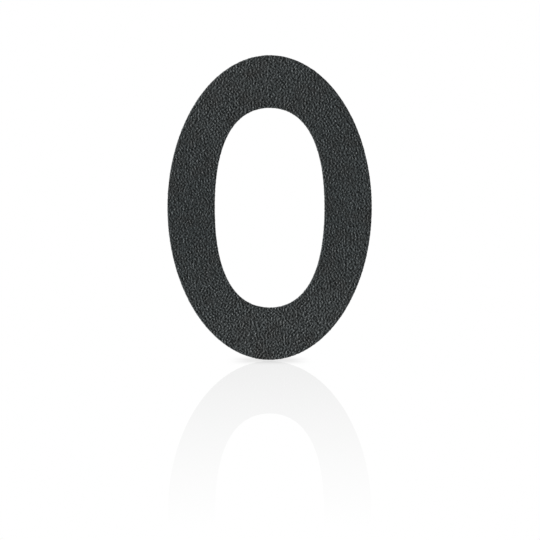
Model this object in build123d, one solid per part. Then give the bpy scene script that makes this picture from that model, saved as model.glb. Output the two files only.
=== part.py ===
"""House number: the numeral 0, cut from steel sheet and coated, with two threaded studs welded to its back.

The numeral stands upright, +Z up. Its face looks along -Y, and the wall is on the +Y side.
The origin is midway between the studs, in the plane where their flanges meet the wall.
All lengths are in millimetres.
"""

import os

from build123d import *

# The numeral, seen from the front
numeral_height = 155.0
numeral_width = 104.0
end_stroke = 26.7  # stroke at the crown and at the foot
side_stroke = 24.1  # stroke at mid-height

# The counter is fuller than an ellipse, with straight flanks and tight shoulders.
# Each share is the length of a curve's handle over the half-axis that it lies along; an ellipse has 0.552.
crown_handle_share = 0.41
flank_handle_share = 0.855

# The sheet, with its coat
plate_thickness = 2.0
face_edge_radius = 0.4  # the back's edges stay square, as cut

# The weld studs
thread_diameter = 4.0
stud_reach = 30.0  # from the flange to the tip
tip_chamfer = 0.5
flange_diameter = 5.5
flange_thickness = 0.8

# Each stud stands in the middle of an end stroke, above and below the counter
stud_offset = (numeral_height - end_stroke) / 2


def counter() -> Sketch:
    """The opening inside the numeral: four quarter curves that run level or upright where they meet."""
    half_width = numeral_width / 2 - side_stroke
    half_height = numeral_height / 2 - end_stroke
    quarter = Bezier(
        (half_width, 0),
        (half_width, flank_handle_share * half_height),
        (crown_handle_share * half_width, half_height),
        (0, half_height),
    )
    upper_half = quarter + mirror(quarter, about=Plane.YZ)
    return make_face(upper_half + mirror(upper_half, about=Plane.XZ))


def number_plate() -> Part:
    """The coated plate: an oval with the counter cut out, on the studs' flanges, its face edges rounded."""
    outline = Ellipse(numeral_width / 2, numeral_height / 2) - counter()
    back = Plane.XZ.offset(flange_thickness)
    plate = extrude(back * outline, amount=plate_thickness)
    face = plate.faces().sort_by(Axis.Y)[0]
    return fillet(face.edges(), face_edge_radius)


def wall_stud() -> Part:
    """One stud about the Y axis: a flange up to the wall plane, then the threaded shank, its tip chamfered."""
    flange_radius = flange_diameter / 2
    thread_radius = thread_diameter / 2
    half_section = Polyline(
        (0, -flange_thickness),
        (flange_radius, -flange_thickness),
        (flange_radius, 0),
        (thread_radius, 0),
        (thread_radius, stud_reach - tip_chamfer),
        (thread_radius - tip_chamfer, stud_reach),
        (0, stud_reach),
        close=True,
    )
    return revolve(make_face(half_section), Axis.Y)


def wall_studs() -> Compound:
    """The upper and the lower stud."""
    return Compound(children=[Pos(0, 0, height) * wall_stud() for height in (stud_offset, -stud_offset)])


os.makedirs("parts", exist_ok=True)
export_step(number_plate(), "parts/number_plate.step")
export_step(wall_studs(), "parts/wall_studs.step")
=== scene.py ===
"""Looks of the house number: the coated numeral 0, its two wall studs, and a plain white studio.

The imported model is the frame: metres, +Z up, the face towards -Y and the wall on the +Y side. The
origin is midway between the studs, in the plane of their flanges. The classes below hold sizes and
points in millimetres, as on a maker's drawing, and their meshes are in metres.
"""

from __future__ import annotations

import logging
import math
from dataclasses import dataclass
from enum import Enum, IntEnum
from functools import cached_property

import bpy
import numpy as np
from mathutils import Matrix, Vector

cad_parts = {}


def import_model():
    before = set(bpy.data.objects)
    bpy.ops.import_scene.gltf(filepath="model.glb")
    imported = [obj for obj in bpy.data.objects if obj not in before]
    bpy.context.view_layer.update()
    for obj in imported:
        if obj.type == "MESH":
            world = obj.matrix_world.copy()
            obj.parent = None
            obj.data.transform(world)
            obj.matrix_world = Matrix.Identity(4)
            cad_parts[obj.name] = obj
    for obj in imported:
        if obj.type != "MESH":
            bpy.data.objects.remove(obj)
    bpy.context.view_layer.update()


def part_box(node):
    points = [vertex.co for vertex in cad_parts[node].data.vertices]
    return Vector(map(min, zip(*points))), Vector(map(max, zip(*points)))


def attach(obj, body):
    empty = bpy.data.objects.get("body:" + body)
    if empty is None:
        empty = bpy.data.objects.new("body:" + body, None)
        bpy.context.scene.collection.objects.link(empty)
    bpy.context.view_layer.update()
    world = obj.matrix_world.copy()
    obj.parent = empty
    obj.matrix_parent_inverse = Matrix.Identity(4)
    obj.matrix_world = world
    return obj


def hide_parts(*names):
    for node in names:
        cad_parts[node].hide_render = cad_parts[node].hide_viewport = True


MM = 0.001  # metres in one millimetre
WHITE = "#ffffff"
KEY_ANGLE = math.radians(75)  # between the key lamp's light and the face's normal
LOG = logging.getLogger("house_number")


class Solid(Enum):
    """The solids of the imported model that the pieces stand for."""

    PLATE = "number_plate"
    STUDS = "wall_studs"


class Slot(Enum):
    """The record's material slots."""

    COAT = "textured_coat"
    STEEL = "stud_steel"


class End(Enum):
    """The numeral's two ends, each with a stud behind it. The value is the sign of the stud's height."""

    UPPER = 1
    LOWER = -1


class Mix(IntEnum):
    """The inputs and the output of a Mix node for colours.

    They go by number, because the node's sockets for other kinds of value share their names.
    """

    FACTOR = 0
    FIRST = 6
    SECOND = 7
    RESULT = 2


def to_linear(hex_colour: str) -> tuple[float, float, float, float]:
    """Turn an sRGB hex colour into the linear colour that a shader takes.

    A channel up to 0.04045 is divided by 12.92. A brighter one has 0.055 added, is divided by 1.055,
    and is raised to the power of 2.4.

    Args:
        hex_colour: A colour such as "#383b3b".

    Returns:
        Linear red, green and blue, and an alpha of 1.
    """
    coded = np.array([int(hex_colour[k:k + 2], 16) for k in (1, 3, 5)]) / 255
    linear = np.where(coded <= 0.04045, coded / 12.92, ((coded + 0.055) / 1.055) ** 2.4)
    return (*linear.tolist(), 1.0)


def per_metre(size_mm: float) -> float:
    """Turn the size of a pattern's features in millimetres into a texture scale on metres."""
    return 1 / (size_mm * MM)


def add_node(
    tree: bpy.types.NodeTree, kind: str, inputs: dict[str | int, object], **settings: object
) -> bpy.types.Node:
    """Add one node to a tree, with its settings and links.

    Args:
        tree: The node tree of a material or a world.
        kind: Blender's name for the kind of node.
        inputs: For each input, by name or number, either the output that feeds it or its value.
        **settings: The node's other properties.

    Returns:
        The new node.
    """
    node = tree.nodes.new(kind)
    for name, value in settings.items():
        setattr(node, name, value)
    for name, value in inputs.items():
        if isinstance(value, bpy.types.NodeSocket):
            tree.links.new(value, node.inputs[name])
        else:
            node.inputs[name].default_value = value
    return node


def empty_tree(owner: bpy.types.Material | bpy.types.World) -> bpy.types.NodeTree:
    """Give a material or a world an empty node tree.

    Args:
        owner: The material or the world.

    Returns:
        Its node tree.
    """
    owner.use_nodes = True
    owner.node_tree.nodes.clear()
    return owner.node_tree


def shown_white(tree: bpy.types.NodeTree, mirrored: bpy.types.NodeSocket) -> bpy.types.NodeSocket:
    """Tell the rays that show the studio as plain white from those that light the object.

    The result is the largest of three: the mark of a ray from the camera, the mark of a ray through
    glass, and the share that is given for reflections.

    Args:
        tree: The node tree of a material or a world.
        mirrored: The output with the share of white that a reflection shows.

    Returns:
        The output that is 1 where the studio shows white, and 0 where it only gives light.
    """
    path = add_node(tree, "ShaderNodeLightPath", {})
    shown = mirrored
    for mark in ("Is Camera Ray", "Is Transmission Ray"):
        larger = add_node(tree, "ShaderNodeMath", {0: shown, 1: path.outputs[mark]}, operation="MAXIMUM")
        shown = larger.outputs["Value"]
    return shown


def surface_mesh(name: str, grid: np.ndarray, capped: bool = False) -> bpy.types.Mesh:
    """Turn a grid of points into a closed mesh.

    Columns run clockwise as seen from the front, and close on themselves. Rows run outwards on what
    faces the front, and then on round the section, and a flat strip joins the last of them to the
    first. In a capped grid they run from front to back instead, and a flat fan of triangles closes
    each of the two ends.

    Args:
        name: The mesh's name.
        grid: Points in metres, with shape (rows, columns, 3).
        capped: Whether the rows end in two fans, rather than close on themselves.

    Returns:
        The mesh, its faces pointing outwards.
    """
    rows, columns = grid.shape[:2]
    here = np.arange(rows * columns).reshape(rows, columns)
    beside = np.roll(here, -1, axis=1)
    quads = np.stack([here, beside, np.roll(beside, -1, axis=0), np.roll(here, -1, axis=0)], axis=-1)
    points = grid.reshape(-1, 3)
    faces = quads.reshape(-1, 4).tolist()
    flat_count = columns
    if capped:
        front, back = rows * columns, rows * columns + 1
        points = np.vstack([points, grid[0].mean(axis=0), grid[-1].mean(axis=0)])
        front_fan = np.stack([np.full(columns, front), beside[0], here[0]], axis=-1)
        back_fan = np.stack([np.full(columns, back), here[-1], beside[-1]], axis=-1)
        faces = quads[:-1].reshape(-1, 4).tolist() + front_fan.tolist() + back_fan.tolist()
        flat_count = 2 * columns
    mesh = bpy.data.meshes.new(name)
    mesh.from_pydata(points.tolist(), [], faces)
    mesh.polygons.foreach_set("use_smooth", np.arange(len(faces)) < len(faces) - flat_count)
    mesh.update()
    return mesh


def mark_points(mesh: bpy.types.Mesh, name: str, values: np.ndarray) -> None:
    """Keep one number for each point of a mesh, for its material to read.

    Args:
        mesh: The mesh.
        name: The attribute's name.
        values: The numbers, in the order of the points. Points past their end keep 0.
    """
    padded = np.zeros(len(mesh.vertices), np.float32)
    padded[:values.size] = values.ravel()
    mesh.attributes.new(name, "FLOAT", "POINT").data.foreach_set("value", padded)


def show_piece(mesh: bpy.types.Mesh, material: bpy.types.Material, solid: Solid) -> None:
    """Put a finished mesh in the scene as a piece of the object.

    Args:
        mesh: The mesh, whose name the piece takes.
        material: The piece's material.
        solid: The solid that the piece stands for.
    """
    mesh.materials.append(material)
    piece = bpy.data.objects.new(mesh.name, mesh)
    bpy.context.scene.collection.objects.link(piece)
    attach(piece, "root")
    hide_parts(solid.value)
    LOG.info("%s: %d faces, stands for %s", piece.name, len(mesh.polygons), solid.value)


@dataclass(frozen=True)
class WaveField:
    """A random field that rolls up and down, with no direction of its own."""

    shortest_wave: float
    longest_wave: float
    wave_count: int
    seed: int
    crowding: float = 2.0  # 2 spreads the wave vectors evenly, more crowds them to the shortest waves
    block: int = 40  # waves worked out at a time, to spare memory

    def at(self, points: np.ndarray) -> np.ndarray:
        """Work out the field at some points, with a mean of about 0 and a root mean square of 1.

        The field is a sum of cosine waves with random phases. Their wave vectors lie in the face's
        plane, in the ring between the longest and the shortest wave, and the number of them within a
        radius grows as that radius to the power of the crowding. Each wave also runs about as steeply
        through the plate's depth, so that the walls have a pattern of their own. The sum is divided by
        the root of half the number of waves.

        Args:
            points: Points in millimetres, with shape (..., 3).

        Returns:
            The field's values, with shape (...).
        """
        draw = np.random.default_rng(self.seed)
        heading = draw.uniform(0, 2 * math.pi, self.wave_count)
        power = self.crowding
        spread = draw.uniform(self.longest_wave**-power, self.shortest_wave**-power, self.wave_count)
        steps = 2 * math.pi * spread ** (1 / power)
        deeper = draw.normal(size=self.wave_count)
        phases = draw.uniform(0, 2 * math.pi, self.wave_count)
        turns = np.stack([np.cos(heading), deeper, np.sin(heading)], axis=-1) * steps[:, None]
        total = np.zeros(points.shape[:-1])
        for first in range(0, self.wave_count, self.block):
            part = slice(first, first + self.block)
            total += np.cos(points @ turns[part].T + phases[part]).sum(axis=-1)
        return total / math.sqrt(self.wave_count / 2)


@dataclass(frozen=True)
class TexturedCoat:
    """Polyester powder coat with a coarse grain, sprayed on steel and baked.

    To the eye it is a dark and faintly cool grey with next to no gloss. Its pebbles catch a side
    light, their tops are smoother than the valleys between them, painted shade darkens the valleys
    against the paler tops, and a finer grit covers both. Painted light makes broad patches of the coat
    darker and a trace cooler, and others paler, and its pebbles are lower where it is darker.
    """

    pebbles: WaveField = WaveField(
        shortest_wave=1.2, longest_wave=4.0, wave_count=360, seed=1031, crowding=4.0
    )
    pebble_height: float = 0.084  # root mean square
    pebble_growth: float = 0.1  # share of that height which each unit of drift adds
    relief_range: float = 0.75  # relief where a top has its full colour; a valley has it at minus this
    # painted shade: through the relief, the valleys between the pebbles take the darker colour and the tops
    # the paler one
    lit_top_colour: str = "#515758"
    shaded_valley_colour: str = "#191e1e"
    top_roughness: float = 0.52
    valley_roughness: float = 0.7
    specular_level: float = 0.3  # the grit scatters part of the gloss of a smooth coat
    mottle_size: float = 1.4
    mottle_range: tuple[float, float] = (0.39, 0.61)  # of the noise, from dark to pale
    mottle_share: float = 0.6  # of the tone; the relief has the rest
    cloud_colour: str = "#313231"
    cloud_size: float = 9.0
    cloud_range: tuple[float, float] = (0.45, 0.75)  # of the noise, from clear to cloudy
    cloud_share: float = 0.75  # of the clouds' colour where they are densest
    pigment_detail: float = 2.0  # finer layers in the noise of the mottle and of the clouds
    drift: WaveField = WaveField(shortest_wave=90.0, longest_wave=240.0, wave_count=16, seed=2022)
    drift_range: float = 1.6  # drift where the painted light is palest; it is darkest at minus this
    # painted light: these tints multiply the coat's colour, darker and a trace cooler where the drift is
    # low, paler where it is high
    shaded_tint: str = "#c9cecf"
    lit_tint: str = "#fffcfb"
    grit_size: float = 0.95  # real grit of about 0.2 mm is too fine to show, so it is drawn this coarse
    grit_height: float = 0.8  # over the whole range of the noise
    grit_detail: float = 1.0

    def relief(self, points: np.ndarray) -> np.ndarray:
        """Give the coat's relief over the pebbles' height: their field, which grows with the drift."""
        return self.pebbles.at(points) * (1 + self.pebble_growth * self.drift.at(points))

    def mark(self, mesh: bpy.types.Mesh, points: np.ndarray, relief: np.ndarray) -> None:
        """Keep the coat's relief and the drift of its painted light on a mesh, for the material to read."""
        mark_points(mesh, "relief", relief)
        mark_points(mesh, "drift", self.drift.at(points))

    def add_colour(
        self, tree: bpy.types.NodeTree, place: bpy.types.NodeSocket, tops: bpy.types.NodeSocket
    ) -> bpy.types.NodeSocket:
        """Add the nodes of the coat's colour.

        The tone is the relief and a mottle, mixed in their shares, and it runs from the valleys' colour
        to that of the tops, so that the relief paints shade into the valleys. Darker clouds lie over this,
        and all of it is multiplied by a tint of painted light that follows the drift.

        Args:
            tree: The material's node tree.
            place: The output with the place on the object.
            tops: The output that runs from 0 in a valley to 1 on a top.

        Returns:
            The output with the colour.
        """
        mottle = add_node(
            tree,
            "ShaderNodeTexNoise",
            {"Vector": place, "Scale": per_metre(self.mottle_size), "Detail": self.pigment_detail},
        )
        dark, pale = self.mottle_range
        mottle = add_node(
            tree,
            "ShaderNodeMapRange",
            {"Value": mottle.outputs["Fac"], "From Min": dark, "From Max": pale},
        )
        # painted shade: the relief's share of the tone darkens the valleys and leaves the tops paler
        tone = add_node(
            tree,
            "ShaderNodeMix",
            {"Factor": self.mottle_share, "A": tops, "B": mottle.outputs["Result"]},
            data_type="FLOAT",
        )
        pigment = add_node(
            tree,
            "ShaderNodeMix",
            {
                Mix.FACTOR: tone.outputs["Result"],
                Mix.FIRST: to_linear(self.shaded_valley_colour),
                Mix.SECOND: to_linear(self.lit_top_colour),
            },
            data_type="RGBA",
        )
        clouds = add_node(
            tree,
            "ShaderNodeTexNoise",
            {"Vector": place, "Scale": per_metre(self.cloud_size), "Detail": self.pigment_detail},
        )
        clear, cloudy = self.cloud_range
        clouds = add_node(
            tree,
            "ShaderNodeMapRange",
            {
                "Value": clouds.outputs["Fac"],
                "From Min": clear,
                "From Max": cloudy,
                "To Max": self.cloud_share,
            },
        )
        clouded = add_node(
            tree,
            "ShaderNodeMix",
            {
                Mix.FACTOR: clouds.outputs["Result"],
                Mix.FIRST: pigment.outputs[Mix.RESULT],
                Mix.SECOND: to_linear(self.cloud_colour),
            },
            data_type="RGBA",
        )
        # painted light: the drift's tint makes broad patches of the coat paler, and others darker and a
        # trace cooler; the share worked out here runs from dark to pale
        drift = add_node(tree, "ShaderNodeAttribute", {}, attribute_name="drift")
        thickness = add_node(
            tree,
            "ShaderNodeMapRange",
            {
                "Value": drift.outputs["Fac"],
                "From Min": -self.drift_range,
                "From Max": self.drift_range,
            },
        )
        tint = add_node(
            tree,
            "ShaderNodeMix",
            {
                Mix.FACTOR: thickness.outputs["Result"],
                Mix.FIRST: to_linear(self.shaded_tint),
                Mix.SECOND: to_linear(self.lit_tint),
            },
            data_type="RGBA",
        )
        colour = add_node(
            tree,
            "ShaderNodeMix",
            {
                Mix.FACTOR: 1.0,
                Mix.FIRST: clouded.outputs[Mix.RESULT],
                Mix.SECOND: tint.outputs[Mix.RESULT],
            },
            data_type="RGBA",
            blend_type="MULTIPLY",
        )
        return colour.outputs[Mix.RESULT]

    @cached_property
    def material(self) -> bpy.types.Material:
        """Build the coat's material, which reads the relief and the drift that the mesh carries.

        Returns:
            The material.
        """
        material = bpy.data.materials.new("textured_powder_coat")
        tree = empty_tree(material)
        place = add_node(tree, "ShaderNodeTexCoord", {}).outputs["Object"]
        relief = add_node(tree, "ShaderNodeAttribute", {}, attribute_name="relief")
        tops = add_node(
            tree,
            "ShaderNodeMapRange",
            {
                "Value": relief.outputs["Fac"],
                "From Min": -self.relief_range,
                "From Max": self.relief_range,
            },
        ).outputs["Result"]
        roughness = add_node(
            tree,
            "ShaderNodeMapRange",
            {"Value": tops, "To Min": self.valley_roughness, "To Max": self.top_roughness},
        )
        grit = add_node(
            tree,
            "ShaderNodeTexNoise",
            {"Vector": place, "Scale": per_metre(self.grit_size), "Detail": self.grit_detail},
        )
        bump = add_node(
            tree,
            "ShaderNodeBump",
            {"Height": grit.outputs["Fac"], "Distance": self.grit_height * MM},
        )
        shader = add_node(
            tree,
            "ShaderNodeBsdfPrincipled",
            {
                "Base Color": self.add_colour(tree, place, tops),
                "Roughness": roughness.outputs["Result"],
                "Specular IOR Level": self.specular_level,
                "Normal": bump.outputs["Normal"],
            },
        )
        add_node(tree, "ShaderNodeOutputMaterial", {"Surface": shader.outputs["BSDF"]})
        return material


@dataclass(frozen=True)
class RolledSteel:
    """Stainless steel with a rolled thread, left bare under the mask while the number was coated.

    To the eye it is a pale warm grey metal. The crests are burnished by the rolls, the roots are darker
    and duller, and fine marks cover both.
    """

    crest_colour: str = "#aaa7a1"
    root_colour: str = "#56534e"
    crest_roughness: float = 0.3
    root_roughness: float = 0.5
    mark_size: float = 0.25  # real marks are finer still, and are drawn this coarse to show close up
    mark_height: float = 0.006
    mark_detail: float = 4.0
    mark_detail_share: float = 0.65  # of each finer layer in the noise of the marks
    mark_roughness: float = 0.16  # added where a mark is strongest

    @cached_property
    def material(self) -> bpy.types.Material:
        """Build the steel's material, which reads how deep in the thread each point lies.

        Returns:
            The material.
        """
        material = bpy.data.materials.new("rolled_stainless_steel")
        tree = empty_tree(material)
        place = add_node(tree, "ShaderNodeTexCoord", {}).outputs["Object"]
        depth = add_node(tree, "ShaderNodeAttribute", {}, attribute_name="thread_depth").outputs["Fac"]
        marks = add_node(
            tree,
            "ShaderNodeTexNoise",
            {
                "Vector": place,
                "Scale": per_metre(self.mark_size),
                "Detail": self.mark_detail,
                "Roughness": self.mark_detail_share,
            },
        ).outputs["Fac"]
        colour = add_node(
            tree,
            "ShaderNodeMix",
            {
                Mix.FACTOR: depth,
                Mix.FIRST: to_linear(self.crest_colour),
                Mix.SECOND: to_linear(self.root_colour),
            },
            data_type="RGBA",
        )
        wear = add_node(
            tree,
            "ShaderNodeMapRange",
            {"Value": depth, "To Min": self.crest_roughness, "To Max": self.root_roughness},
        )
        roughness = add_node(
            tree,
            "ShaderNodeMath",
            {0: marks, 1: self.mark_roughness, 2: wear.outputs["Result"]},
            operation="MULTIPLY_ADD",
        )
        bump = add_node(tree, "ShaderNodeBump", {"Height": marks, "Distance": self.mark_height * MM})
        shader = add_node(
            tree,
            "ShaderNodeBsdfPrincipled",
            {
                "Base Color": colour.outputs[Mix.RESULT],
                "Metallic": 1.0,
                "Roughness": roughness.outputs["Value"],
                "Normal": bump.outputs["Normal"],
            },
        )
        add_node(tree, "ShaderNodeOutputMaterial", {"Surface": shader.outputs["BSDF"]})
        return material


@dataclass(frozen=True)
class NumeralOutline:
    """The numeral seen from the front: an ellipse outside, and a counter that is fuller than one."""

    half_width: float
    half_height: float
    end_stroke: float = 26.7  # at the crown and at the foot
    side_stroke: float = 24.1  # at mid-height
    crown_handle_share: float = 0.41  # handles of the counter's quarter curves over its half-axes
    flank_handle_share: float = 0.855
    fineness: int = 4000  # points on each quarter before the points are spaced evenly

    def ellipse(self) -> np.ndarray:
        """Give the outer outline, clockwise from the crown: half-width by sine, half-height by cosine."""
        turn = np.linspace(0, 2 * math.pi, 4 * self.fineness, endpoint=False)
        return np.stack([self.half_width * np.sin(turn), self.half_height * np.cos(turn)], axis=-1)

    def counter(self) -> np.ndarray:
        """Give the counter's outline, clockwise from its crown.

        A quarter is a cubic Bezier curve from the crown to the flank: its handles lie level at the
        crown and upright at the flank. The other three quarters are its mirror images, each run the
        right way round.

        Returns:
            Points with shape (points, 2).
        """
        width = self.half_width - self.side_stroke
        height = self.half_height - self.end_stroke
        handles = np.array(
            [
                (0, height),
                (self.crown_handle_share * width, height),
                (width, self.flank_handle_share * height),
                (width, 0),
            ]
        )
        t = np.linspace(0, 1, self.fineness, endpoint=False)[:, None]
        weights = np.hstack([(1 - t) ** 3, 3 * t * (1 - t) ** 2, 3 * t**2 * (1 - t), t**3])
        quarter = weights @ handles
        back_again = np.vstack([handles[-1:], quarter[:0:-1]])
        right_half = np.vstack([quarter, back_again * (1, -1)])
        return np.vstack([right_half, -right_half])

    @staticmethod
    def spaced(outline: np.ndarray, count: int) -> tuple[np.ndarray, np.ndarray]:
        """Space points evenly along a closed outline.

        A point's place is read off the running length of the outline. Its side direction is the chord
        between its two neighbours, turned a quarter to the right, which on a clockwise outline is
        towards the middle.

        Args:
            outline: Points in order, with shape (points, 2).
            count: How many points to space.

        Returns:
            The points and their unit directions towards the middle, each with shape (count, 2).
        """
        closed = np.vstack([outline, outline[:1]])
        run = np.concatenate([[0], np.cumsum(np.linalg.norm(np.diff(closed, axis=0), axis=1))])
        stops = np.linspace(0, run[-1], count, endpoint=False)
        points = np.stack([np.interp(stops, run, closed[:, k]) for k in range(2)], axis=-1)
        chord = np.roll(points, -1, axis=0) - np.roll(points, 1, axis=0)
        chord /= np.linalg.norm(chord, axis=1, keepdims=True)
        return points, np.stack([chord[:, 1], -chord[:, 0]], axis=-1)


def stations(
    share: float | np.ndarray,
    inset: float | np.ndarray,
    behind: float | np.ndarray,
    lean: float | np.ndarray,
    coat: float,
) -> np.ndarray:
    """List the stations of a stretch of the plate's section. A row of values gives as many stations.

    Args:
        share: The share of the way from the counter to the outer outline.
        inset: How far a station lies inside the nearer outline.
        behind: How far it lies behind the face.
        lean: How far its surface leans: 0 on the face, a quarter turn on a wall, a half turn on the back.
        coat: Its share of the coat's relief.

    Returns:
        Stations with shape (stations, 5).
    """
    return np.stack(np.broadcast_arrays(share, inset, behind, lean, coat), axis=-1)


def on_counter(outer_edge: np.ndarray) -> np.ndarray:
    """Turn the stations of the outer edge into those of the counter's edge, which run the other way."""
    return outer_edge[::-1] * (0, 1, 1, 1, 1)


@dataclass
class CoatedPlate:
    """The numeral's plate: cut steel sheet, its face edges rounded, under a textured coat.

    The coat has more pebbles than one mesh can carry, so the plate is drawn as a front shell and a back
    shell. They meet point for point in a plane halfway down the walls, and each is closed in that plane.
    """

    outline: NumeralOutline
    face_plane: float  # along Y
    thickness: float
    face_edge_radius: float = 0.4
    back_edge_radius: float = 0.12  # the coat's own rounding over an edge that was cut square
    columns: int = 1000
    stroke_rows: int = 79  # across the face, and across the back
    wall_rows: int = 3  # on each shell's part of a wall
    rounding_rows: int = 4
    wall_relief: float = 0.7  # the coat's relief on the walls and the back over that on the face
    edge_relief: float = 0.45  # the coat draws thin over the edges

    def front_section(self) -> np.ndarray:
        """Work out the section of the front shell, from the counter's wall over the face to the outer one.

        A rounding of radius r at lean a lies r (1 - sin a) inside the outline, and r (1 - cos a) behind
        the face.

        Returns:
            Stations with shape (stations, 5).
        """
        radius = self.face_edge_radius
        lean = np.linspace(0, math.pi / 2, self.rounding_rows)[1:]
        inset = radius * (1 - np.sin(lean))
        behind = radius * (1 - np.cos(lean))
        down = np.linspace(radius, self.thickness / 2, self.wall_rows)[1:]
        face = stations(np.linspace(0, 1, self.stroke_rows), radius, 0.0, 0.0, 1.0)
        rounding = stations(1.0, inset, behind, lean, self.edge_relief)
        wall = stations(1.0, 0.0, down, math.pi / 2, self.wall_relief)
        outer_edge = np.vstack([rounding, wall])
        return np.vstack([on_counter(outer_edge), face, outer_edge])

    def back_section(self) -> np.ndarray:
        """Work out the section of the back shell, from the outer wall over the back to the counter's one.

        A rounding of radius r at lean a lies r (1 - sin a) inside the outline, and r (1 + cos a) before
        the back.

        Returns:
            Stations with shape (stations, 5).
        """
        radius = self.back_edge_radius
        lean = np.linspace(math.pi / 2, math.pi, self.rounding_rows)[1:]
        inset = radius * (1 - np.sin(lean))
        behind = self.thickness - radius * (1 + np.cos(lean))
        down = np.linspace(self.thickness / 2, self.thickness - radius, self.wall_rows)
        across = np.linspace(1, 0, self.stroke_rows)[1:-1]
        wall = stations(1.0, 0.0, down, math.pi / 2, self.wall_relief)
        rounding = stations(1.0, inset, behind, lean, self.edge_relief)
        back = stations(across, radius, self.thickness, math.pi, self.wall_relief)
        outer_edge = np.vstack([wall, rounding])
        return np.vstack([outer_edge, back, on_counter(outer_edge)])

    def build_shell(self, name: str, section: np.ndarray, finish: TexturedCoat) -> None:
        """Build one shell's mesh and dress it.

        A point lies on the straight line between the two outlines, each drawn in by the station's inset,
        at the station's share of the way. The coat's height there then moves it along the surface's
        direction.

        Args:
            name: The piece's name.
            section: Stations with shape (stations, 5).
            finish: The coat.
        """
        share, inset, behind, lean, coat = section.T[..., None]
        share, inset = share[..., None], inset[..., None]
        outer, outer_in = self.outline.spaced(self.outline.ellipse(), self.columns)
        inner, inner_in = self.outline.spaced(self.outline.counter(), self.columns)
        flat = (1 - share) * (inner - inset * inner_in) + share * (outer + inset * outer_in)
        depth = np.broadcast_to(self.face_plane + behind, flat.shape[:2])
        points = np.stack([flat[..., 0], depth, flat[..., 1]], axis=-1)
        outwards = (1 - share) * inner_in - share * outer_in
        sideways = np.sin(lean)[..., None] * outwards
        forwards = np.broadcast_to(-np.cos(lean), flat.shape[:2])
        direction = np.stack([sideways[..., 0], forwards, sideways[..., 1]], axis=-1)
        relief = finish.relief(points) * coat
        proud = direction * (relief * finish.pebble_height)[..., None]
        mesh = surface_mesh(name, (points + proud) * MM)
        finish.mark(mesh, points, relief)
        show_piece(mesh, finish.material, Solid.PLATE)

    def build(self, finish: TexturedCoat) -> None:
        """Build both shells and dress them in the coat."""
        self.build_shell("plate_front", self.front_section(), finish)
        self.build_shell("plate_back", self.back_section(), finish)


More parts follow.
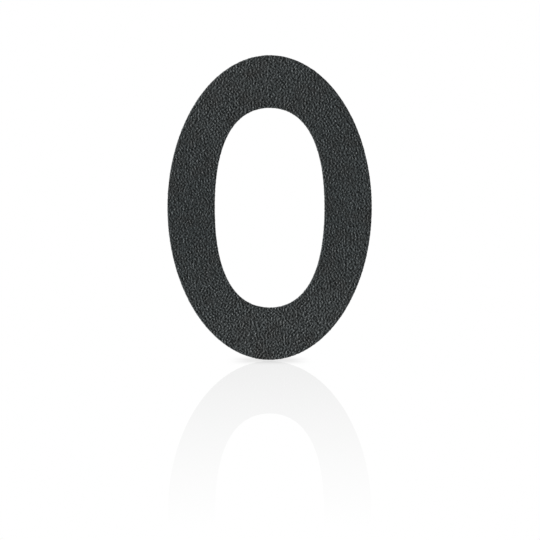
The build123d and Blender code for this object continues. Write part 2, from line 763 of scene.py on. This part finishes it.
@dataclass
class WallStud:
    """A weld stud behind one end of the numeral: a coated collar on the plate, and a bare threaded shank."""

    end: End
    height: float  # of both studs from the origin
    reach: float  # from the collar to the tip
    collar_height: float
    thread_diameter: float = 4.0
    pitch: float = 0.7
    depth_over_pitch: float = 0.6134  # as on any metric thread, and so are the two flats
    root_flat: float = 1 / 4  # over the pitch
    crest_flat: float = 1 / 8
    tip_chamfer: float = 0.5
    neck_length: float = 0.9  # plain neck below the thread
    collar_diameter: float = 5.5
    collar_rounding: float = 0.25
    collar_relief: float = 0.5  # the coat's relief over that on the face
    coat_foot: float = 0.45  # reach of the coat's fillet on to the plate
    coat_climb: float = 0.55  # how far the coat runs up the neck, to the edge of the mask
    lip_depth: float = 0.05  # of the coat's edge there under the neck's surface
    foot_depth: float = 0.1  # of the fillet's edge under the plate's surface
    hidden_depth: float = 0.3  # of the collar's hidden end in the plate
    hidden_inset: float = 0.2  # of its hidden ends in the shank
    columns: int = 56
    rows_per_turn: int = 16
    bend_rows: int = 7  # on each quarter circle of the collar's profile
    land_rows: int = 5  # on the flat from its rim to its neck, both ends included

    @property
    def thread_depth(self) -> float:
        """Give the height of the thread's ridge, from root to crest."""
        return self.depth_over_pitch * self.pitch

    @property
    def neck_radius(self) -> float:
        """Give the radius of the plain neck, midway between the thread's root and its crest."""
        return (self.thread_diameter - self.thread_depth) / 2

    def around(self, radius: np.ndarray, along: np.ndarray) -> np.ndarray:
        """Carry a profile round the stud's axis.

        At a turn a clockwise from the top, a point lies radius by sine of a to the right of the axis,
        and radius by cosine of a above it.

        Args:
            radius: Distances from the axis, with shape (rows, 1) or (rows, columns).
            along: Places along Y, with shape (rows, 1) or (rows, columns).

        Returns:
            Points in millimetres, with shape (rows, columns, 3).
        """
        turn = np.linspace(0, 2 * math.pi, self.columns, endpoint=False)
        level = self.end.value * self.height
        parts = np.broadcast_arrays(radius * np.sin(turn), along, level + radius * np.cos(turn))
        return np.stack(parts, axis=-1)

    def thread(self, along: np.ndarray) -> tuple[np.ndarray, np.ndarray]:
        """Work out the radius of the thread, and how deep in it each point lies.

        The phase is the place along the axis in pitches, less the turn, so the ridge climbs as a
        right-hand screw. The ridge rises evenly from the root's flat to the crest's. On the neck it is
        held midway, within one pitch of the neck it grows to its full height, and the tip's chamfer cuts
        all that stands outside a 45 degree cone.

        Args:
            along: Places along Y, with shape (rows, 1).

        Returns:
            The radii, and the depths from 0 at the crest to 1 at the root, with shape (rows, columns).
        """
        turn = np.linspace(0, 1, self.columns, endpoint=False)
        ridge = np.abs(2 * np.mod(along / self.pitch - turn, 1) - 1)
        rise = np.clip((ridge - self.root_flat) / (1 - self.root_flat - self.crest_flat), 0, 1)
        threaded = np.clip((along - self.neck_length) / self.pitch, 0, 1)
        rise = threaded * rise + (1 - threaded) / 2
        crest = self.thread_diameter / 2
        root = crest - self.thread_depth
        cone = crest - self.tip_chamfer + (self.reach - along)
        return np.minimum(root + self.thread_depth * rise, cone), 1 - rise

    def build_shank(self, finish: RolledSteel) -> None:
        """Build the threaded shank, in even rows from inside the collar to the tip, and dress it.

        Args:
            finish: The steel.
        """
        rows = round(self.reach / self.pitch * self.rows_per_turn)
        along = np.linspace(-self.collar_height / 2, self.reach, rows)[:, None]
        radius, depth = self.thread(along)
        name = f"stud_shank_{self.end.name.lower()}"
        mesh = surface_mesh(name, self.around(radius, along) * MM, capped=True)
        mark_points(mesh, "thread_depth", depth)
        show_piece(mesh, finish.material, Solid.STUDS)

    def collar_profile(self) -> np.ndarray:
        """Work out the profile of the coated collar.

        It starts at the shank inside the plate and goes round: out under the plate's coat, up the coat's
        fillet, over the collar's rounded rim, in to the neck, up to the mask's edge, and back inside. The
        fillet, the rim and the cove at the neck are quarter circles.

        Returns:
            Distances from the axis and places along Y, with shape (rows, 2).
        """
        turn = np.linspace(0, math.pi / 2, self.bend_rows)
        sine, cosine = np.sin(turn), np.cos(turn)
        plate = -self.collar_height
        side = self.collar_diameter / 2
        foot = self.coat_foot
        bend = self.collar_rounding
        neck = self.neck_radius
        climb = self.coat_climb
        inset = self.hidden_inset
        hidden = np.array(
            [
                (neck - inset, plate - self.hidden_depth),
                (side + foot, plate - self.hidden_depth),
                (side + foot, plate - self.foot_depth),
            ]
        )
        fillet = np.stack([side + foot * (1 - sine), plate + foot * (1 - cosine)], axis=-1)
        rim = np.stack([side - bend * (1 - cosine), -bend * (1 - sine)], axis=-1)
        land = np.linspace((side - bend, 0), (neck + climb, 0), self.land_rows)[1:-1]
        cove = np.stack([neck + climb * (1 - sine), climb * (1 - cosine)], axis=-1)
        lip = np.array([(neck - self.lip_depth, climb), (neck - inset, climb - inset)])
        return np.vstack([hidden, fillet, rim, land, cove, lip])

    def build_collar(self, finish: TexturedCoat) -> None:
        """Build the collar under its coat and dress it.

        The coat's height moves each point along the profile's step there, turned a quarter to the right.

        Args:
            finish: The coat.
        """
        profile = self.collar_profile()
        radius, along = profile[:, :1], profile[:, 1:]
        step = np.roll(profile, -1, axis=0) - np.roll(profile, 1, axis=0)
        step /= np.linalg.norm(step, axis=1, keepdims=True)
        points = self.around(radius, along)
        relief = finish.relief(points) * self.collar_relief
        proud = relief * finish.pebble_height
        coated = self.around(radius + step[:, 1:] * proud, along - step[:, :1] * proud)
        mesh = surface_mesh(f"stud_collar_{self.end.name.lower()}", coated * MM)
        finish.mark(mesh, points, relief)
        show_piece(mesh, finish.material, Solid.STUDS)


@dataclass(frozen=True)
class PolishedFloor:
    """A white gloss table top, which mirrors what stands on it faintly, and less so further away."""

    room_level: float  # of the light that the floor gives the object
    mirror_share: float = 0.15  # of the mirror image in what is seen, right under the numeral
    mirror_reach: float = 620.0  # where the mirror image has faded out
    shadow_level: float = 0.77  # of white, where the shadow is deepest
    shadow_reach: float = 32.0  # how far off a thing still closes off the sky
    shadow_openness: float = 0.5  # share of open sky at which the shadow is deepest
    shadow_samples: int = 16
    shadow_sides: tuple[float, float] = (10.0, 23.0)  # from the foot's middle, where it weakens and ends

    def add_white(self, tree: bpy.types.NodeTree, place: bpy.types.NodeSocket) -> bpy.types.NodeSocket:
        """Add the nodes of the floor's white, with the soft shadow under the numeral's foot.

        The shadow deepens as less of the sky within its reach is open, and it fades out at both sides.

        Args:
            tree: The material's node tree.
            place: The output with the place on the floor.

        Returns:
            The output with the level of white.
        """
        openness = add_node(
            tree,
            "ShaderNodeAmbientOcclusion",
            {"Distance": self.shadow_reach * MM},
            samples=self.shadow_samples,
        )
        shade = add_node(
            tree,
            "ShaderNodeMapRange",
            {
                "Value": openness.outputs["AO"],
                "From Min": self.shadow_openness,
                "To Min": 1.0,
                "To Max": 0.0,
            },
            interpolation_type="SMOOTHSTEP",
        )
        across = add_node(tree, "ShaderNodeSeparateXYZ", {"Vector": place})
        sideways = add_node(tree, "ShaderNodeMath", {0: across.outputs["X"]}, operation="ABSOLUTE")
        weakens, ends = self.shadow_sides
        near = add_node(
            tree,
            "ShaderNodeMapRange",
            {
                "Value": sideways.outputs["Value"],
                "From Min": weakens * MM,
                "From Max": ends * MM,
                "To Min": 1.0,
                "To Max": 0.0,
            },
            interpolation_type="SMOOTHSTEP",
        )
        shadow = add_node(
            tree,
            "ShaderNodeMath",
            {0: shade.outputs["Result"], 1: near.outputs["Result"]},
            operation="MULTIPLY",
        )
        white = add_node(
            tree,
            "ShaderNodeMapRange",
            {"Value": shadow.outputs["Value"], "To Min": 1.0, "To Max": self.shadow_level},
        )
        return white.outputs["Result"]

    def material(self) -> bpy.types.Material:
        """Build the floor's material: white where it is seen, and as bright as the room where it lights.

        Returns:
            The material.
        """
        material = bpy.data.materials.new("white_gloss_floor")
        tree = empty_tree(material)
        place = add_node(tree, "ShaderNodeTexCoord", {}).outputs["Object"]
        plain = add_node(tree, "ShaderNodeEmission", {"Strength": self.add_white(tree, place)})
        mirror = add_node(tree, "ShaderNodeBsdfAnisotropic", {"Color": to_linear(WHITE), "Roughness": 0.0})
        away = add_node(tree, "ShaderNodeVectorMath", {0: place}, operation="LENGTH")
        share = add_node(
            tree,
            "ShaderNodeMapRange",
            {
                "Value": away.outputs["Value"],
                "From Max": self.mirror_reach * MM,
                "To Min": self.mirror_share,
                "To Max": 0.0,
            },
        )
        glossy = add_node(
            tree,
            "ShaderNodeMixShader",
            {0: share.outputs["Result"], 1: plain.outputs["Emission"], 2: mirror.outputs["BSDF"]},
        )
        lit = add_node(tree, "ShaderNodeEmission", {"Strength": self.room_level})
        path = add_node(tree, "ShaderNodeLightPath", {})
        surface = add_node(
            tree,
            "ShaderNodeMixShader",
            {
                0: shown_white(tree, path.outputs["Is Glossy Ray"]),
                1: lit.outputs["Emission"],
                2: glossy.outputs["Shader"],
            },
        )
        add_node(tree, "ShaderNodeOutputMaterial", {"Surface": surface.outputs["Shader"]})
        return material


@dataclass(frozen=True)
class Lamp:
    """A distant lamp: the side it shines from, how strong it is and how wide it looks from the object."""

    name: str
    side: tuple[float, float, float]
    strength: float
    width_degrees: float

    def build(self) -> None:
        """Hang the lamp. It shines along its own -Z, which is turned away from its side."""
        light = bpy.data.lights.new(self.name, "SUN")
        light.energy = self.strength
        light.angle = math.radians(self.width_degrees)
        lamp = bpy.data.objects.new(self.name, light)
        bpy.context.scene.collection.objects.link(lamp)
        x, y, z = self.side
        lamp.rotation_euler = (math.acos(z / math.hypot(x, y, z)), 0, math.atan2(y, x) + math.pi / 2)


@dataclass
class Studio:
    """A white room: floor, room light, lamps, and a camera before the numeral's face, a little above it."""

    face_plane: float  # along Y
    lowest: float  # level of the numeral's foot
    floor_gap: float = 0.4  # under the foot, so that no pebble cuts the floor
    floor_size: float = 8000.0
    frame_width: float = 274.6  # what the picture takes in, at the face
    camera_distance: float = 1500.0  # from the face
    camera_height: float = 45.0  # from the middle of the numeral
    camera_side: float = 0.2  # along X, because the numeral stands a little off the picture's middle
    aim_height: float = -31.6  # of the middle of the picture
    sensor_width: float = 36.0
    room_level: float = 0.18  # of the light that the room gives the object
    backdrop_range: tuple[float, float] = (-0.5, 0.2)  # of a direction's part along +Y, from dim to white
    lamps: tuple[Lamp, ...] = (
        Lamp(
            "side_key",
            side=(-math.sin(KEY_ANGLE), -math.cos(KEY_ANGLE), 0.08),
            strength=6.2,
            width_degrees=8.0,
        ),
        Lamp("back_fill", side=(0.8, 0.6, 0.28), strength=2.4, width_degrees=20.0),
    )

    def build_floor(self) -> None:
        """Lay the floor: a square sheet of points at one height, just under the numeral's foot."""
        half = self.floor_size / 2 * MM
        level = (self.lowest - self.floor_gap) * MM
        corners = [(-half, -half, level), (half, -half, level), (half, half, level), (-half, half, level)]
        mesh = bpy.data.meshes.new("floor")
        mesh.from_pydata(corners, [], [(0, 1, 2, 3)])
        mesh.materials.append(PolishedFloor(self.room_level).material())
        sheet = bpy.data.objects.new("floor", mesh)
        bpy.context.scene.collection.objects.link(sheet)

    def build_room(self) -> None:
        """Light the room: white to the camera, and a plain low level to what lights the object.

        A sharp mirror shows the white all round. A blurred reflection shows it on the side of the room
        behind the numeral, and the other side is dim.
        """
        world = bpy.data.worlds.new("white_room")
        bpy.context.scene.world = world
        tree = empty_tree(world)
        heading = add_node(tree, "ShaderNodeTexCoord", {}).outputs["Generated"]
        behind = add_node(tree, "ShaderNodeSeparateXYZ", {"Vector": heading}).outputs["Y"]
        dim, white = self.backdrop_range
        backdrop = add_node(
            tree,
            "ShaderNodeMapRange",
            {"Value": behind, "From Min": dim, "From Max": white},
        )
        path = add_node(tree, "ShaderNodeLightPath", {})
        blurred = add_node(
            tree,
            "ShaderNodeMath",
            {0: path.outputs["Is Glossy Ray"], 1: backdrop.outputs["Result"]},
            operation="MULTIPLY",
        )
        mirrored = add_node(
            tree,
            "ShaderNodeMath",
            {0: path.outputs["Is Singular Ray"], 1: blurred.outputs["Value"]},
            operation="MAXIMUM",
        )
        seen = shown_white(tree, mirrored.outputs["Value"])
        level = add_node(tree, "ShaderNodeMapRange", {"Value": seen, "To Min": self.room_level})
        light = add_node(
            tree,
            "ShaderNodeBackground",
            {"Color": to_linear(WHITE), "Strength": level.outputs["Result"]},
        )
        add_node(tree, "ShaderNodeOutputWorld", {"Surface": light.outputs["Background"]})

    def build_camera(self) -> None:
        """Set up the camera, with the lens that takes in the frame's width.

        It stands before the face and looks down a little, at the point of the face in the middle of the
        picture.
        """
        data = bpy.data.cameras.new("camera")
        data.sensor_width = self.sensor_width
        data.lens = self.sensor_width * self.camera_distance / self.frame_width
        camera = bpy.data.objects.new("camera", data)
        bpy.context.scene.collection.objects.link(camera)
        camera.location = (
            self.camera_side * MM,
            (self.face_plane - self.camera_distance) * MM,
            self.camera_height * MM,
        )
        downwards = math.atan2(self.camera_height - self.aim_height, self.camera_distance)
        camera.rotation_euler = (math.pi / 2 - downwards, 0, 0)
        bpy.context.scene.camera = camera

    def build(self) -> None:
        """Build the whole studio."""
        self.build_floor()
        self.build_room()
        for lamp in self.lamps:
            lamp.build()
        self.build_camera()
        bpy.context.scene.view_settings.view_transform = "Standard"


def main() -> None:
    """Load the frame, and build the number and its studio."""
    logging.basicConfig(level=logging.INFO, format="%(message)s")
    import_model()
    plate_low, plate_high = (np.array(corner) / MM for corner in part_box(Solid.PLATE.value))
    stud_low, stud_high = (np.array(corner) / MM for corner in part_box(Solid.STUDS.value))
    plate_size = plate_high - plate_low
    outline = NumeralOutline(half_width=plate_size[0] / 2, half_height=plate_size[2] / 2)
    coat = TexturedCoat()
    steel = RolledSteel()
    CoatedPlate(outline, face_plane=plate_low[1], thickness=plate_size[1]).build(coat)
    for end in End:
        stud = WallStud(
            end,
            height=outline.half_height - outline.end_stroke / 2,
            reach=stud_high[1],
            collar_height=-stud_low[1],
        )
        stud.build_shank(steel)
        stud.build_collar(coat)
    Studio(face_plane=plate_low[1], lowest=plate_low[2]).build()


if __name__ == "__main__":
    main()
